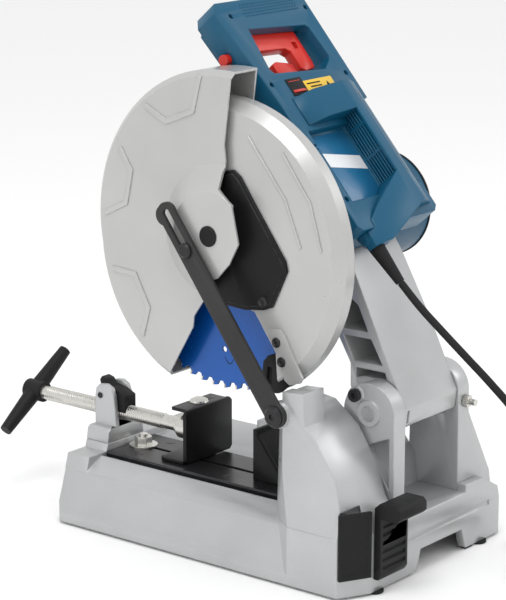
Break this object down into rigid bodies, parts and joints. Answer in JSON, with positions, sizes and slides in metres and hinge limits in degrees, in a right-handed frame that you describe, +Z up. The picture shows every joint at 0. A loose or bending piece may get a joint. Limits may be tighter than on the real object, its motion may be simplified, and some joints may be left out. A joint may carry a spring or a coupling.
{
  "type": "abrasive chop saw",
  "caption": "Bench chop saw for metal: toothed blade under a swinging guard on a pivoting motor head, with a cast base, quick-release vise, spark tower and chip tray.",
  "frame": {"origin": "on the floor at the centre of the four bench bolt holes, under the middle of the base", "axes": "+X to the operator's right (the blade side), +Y to the rear (the pivot side), +Z up"},
  "size_m": [0.291, 0.735, 0.5837],
  "materials": {
    "casting": "fine-textured silver-grey painted die casting",
    "guard_paint": "satin light silver-grey paint on pressed sheet",
    "black_steel": "satin black powder coat",
    "rail_steel": "dark oxide finish with rubbed edges",
    "link_steel": "dark grey coat",
    "zinc": "bright zinc plate",
    "dark_bolt": "black oxide",
    "machined": "turned steel",
    "gear_steel": "oiled hardened steel",
    "blade_blue": "blue lacquered saw steel with bright tips",
    "blue_shell": "fine-grained glass-filled nylon, petrol blue",
    "motor_blue": "fine-grained glass-filled nylon, petrol blue",
    "dark_plastic": "grained black plastic",
    "red_plastic": "semi-gloss red plastic",
    "rubber": "matt black rubber",
    "copper_core": "laminated core with lacquered copper windings"
  },
  "bodies": {
    "base": {"base_casting": "casting", "spark_tower": "casting", "near_bracket": "casting", "far_bracket": "casting", "rail_near": "rail_steel", "rail_far": "rail_steel", "rail_rivets": "rail_steel", "feet": "rubber", "fence": "black_steel", "fence_block": "casting", "fence_bolts": "zinc", "nut_bracket": "casting", "bracket_bolt": "zinc", "half_nut_pin": "dark_bolt", "link_screw": "dark_bolt", "pivot_shaft": "machined", "stop_bolt": "dark_bolt", "depth_screw": "zinc", "return_spring": "dark_bolt", "cord": "rubber", "cord_coil": "rubber", "plug": "rubber"},
    "head": {"arm": "casting", "gear_case": "casting", "fixed_guard": "guard_paint", "arbor_cover": "black_steel", "cover_screw": "dark_bolt", "guard_bracket": "guard_paint", "bracket_screws": "dark_bolt", "laser_unit": "dark_plastic", "handle_shell": "blue_shell", "housing_duct": "blue_shell", "motor_housing": "motor_blue", "end_cap": "dark_plastic", "stator": "copper_core", "vent_grille": "dark_plastic", "strain_relief": "rubber"},
    "blade_set": {"blade": "blade_blue", "arbor_shaft": "machined", "arbor_flanges": "machined", "arbor_bolt": "machined", "bull_gear": "gear_steel"},
    "rotor_set": {"rotor": "copper_core", "pinion": "gear_steel"},
    "swing_guard": {"moving_guard": "guard_paint", "hub_cap": "dark_plastic", "guard_pin": "dark_bolt"},
    "link": {"link_bar": "link_steel"},
    "jaw_set": {"jaw": "black_steel", "jaw_collar": "zinc", "jaw_bolt": "zinc"},
    "spindle_set": {"spindle": "zinc", "t_handle": "dark_plastic"},
    "nut_lever": {"half_nut": "dark_plastic"},
    "tray": {"chip_tray": "dark_plastic"},
    "latch": {"tray_latch": "dark_plastic"},
    "trigger_set": {"trigger": "red_plastic"},
    "lock_off_set": {"lock_off": "red_plastic"},
    "rocker_set": {"rocker": "red_plastic"},
    "transport_lock": {"lock_button": "red_plastic"}
  },
  "joints": [
    {"name": "head_tilt", "type": "hinge", "parent": "base", "child": "head", "pos_m": [0, 0.165, 0.1747], "axis": [1, 0, 0], "range_deg": [0, 33], "stiffness_Nm_per_rad": 60, "springref_deg": -40.11, "deforming": ["cord", "return_spring"]},
    {"name": "guard_swing", "type": "hinge", "parent": "head", "child": "swing_guard", "pos_m": [0.095, 0.0145, 0.355], "axis": [1, 0, 0], "range_deg": [-33, 0]},
    {"name": "link_swing", "type": "hinge", "parent": "base", "child": "link", "pos_m": [0.14, 0.1078, 0.1812], "axis": [1, 0, 0], "range_deg": [0, 40.5]},
    {"name": "blade_spin", "type": "hinge", "parent": "head", "child": "blade_set", "pos_m": [0.095, 0.005, 0.335], "axis": [1, 0, 0], "continuous": true},
    {"name": "rotor_spin", "type": "hinge", "parent": "head", "child": "rotor_set", "pos_m": [-0.05, 0.0638, 0.3576], "axis": [1, 0, 0], "continuous": true},
    {"name": "jaw_slide", "type": "slide", "parent": "base", "child": "jaw_set", "axis": [0, 1, 0], "range_m": [0, 0.06]},
    {"name": "spindle_turn", "type": "hinge", "parent": "jaw_set", "child": "spindle_set", "pos_m": [0.056, -0.2, 0.1135], "axis": [0, 1, 0], "continuous": true},
    {"name": "nut_lift", "type": "hinge", "parent": "base", "child": "nut_lever", "pos_m": [0.056, -0.196, 0.132], "axis": [1, 0, 0], "range_deg": [0, 30]},
    {"name": "tray_slide", "type": "slide", "parent": "base", "child": "tray", "axis": [0.4679, 0.8838, 0], "range_m": [0, 0.05]},
    {"name": "latch_swing", "type": "hinge", "parent": "base", "child": "latch", "pos_m": [0.081, 0.214, 0.092], "axis": [1, 0, 0], "range_deg": [0, 40]},
    {"name": "trigger_squeeze", "type": "hinge", "parent": "head", "child": "trigger_set", "pos_m": [-0.046, 0.00241, 0.5109], "axis": [0, -0.7547, -0.6561], "range_deg": [0, 5], "stiffness_Nm_per_rad": 2, "springref_deg": -9.74},
    {"name": "lock_off_press", "type": "slide", "parent": "head", "child": "lock_off_set", "axis": [0, 0.6561, -0.7547], "range_m": [0, 0.004], "stiffness_N_per_m": 400, "springref_m": -0.002},
    {"name": "rocker_tip", "type": "hinge", "parent": "head", "child": "rocker_set", "pos_m": [0.016, 0.03387, 0.49452], "axis": [-1, 0, 0], "range_deg": [0, 10]},
    {"name": "transport_lock_press", "type": "slide", "parent": "head", "child": "transport_lock", "axis": [-1, 0, 0], "range_m": [0, 0.004], "stiffness_N_per_m": 400, "springref_m": -0.002}
  ],
  "couplings": [
    {"joint": "guard_swing", "follows": "head_tilt", "ratio": -0.971},
    {"joint": "link_swing", "follows": "head_tilt", "ratio": 1.209},
    {"joint": "rotor_spin", "follows": "blade_spin", "ratio": -5}
  ]
}
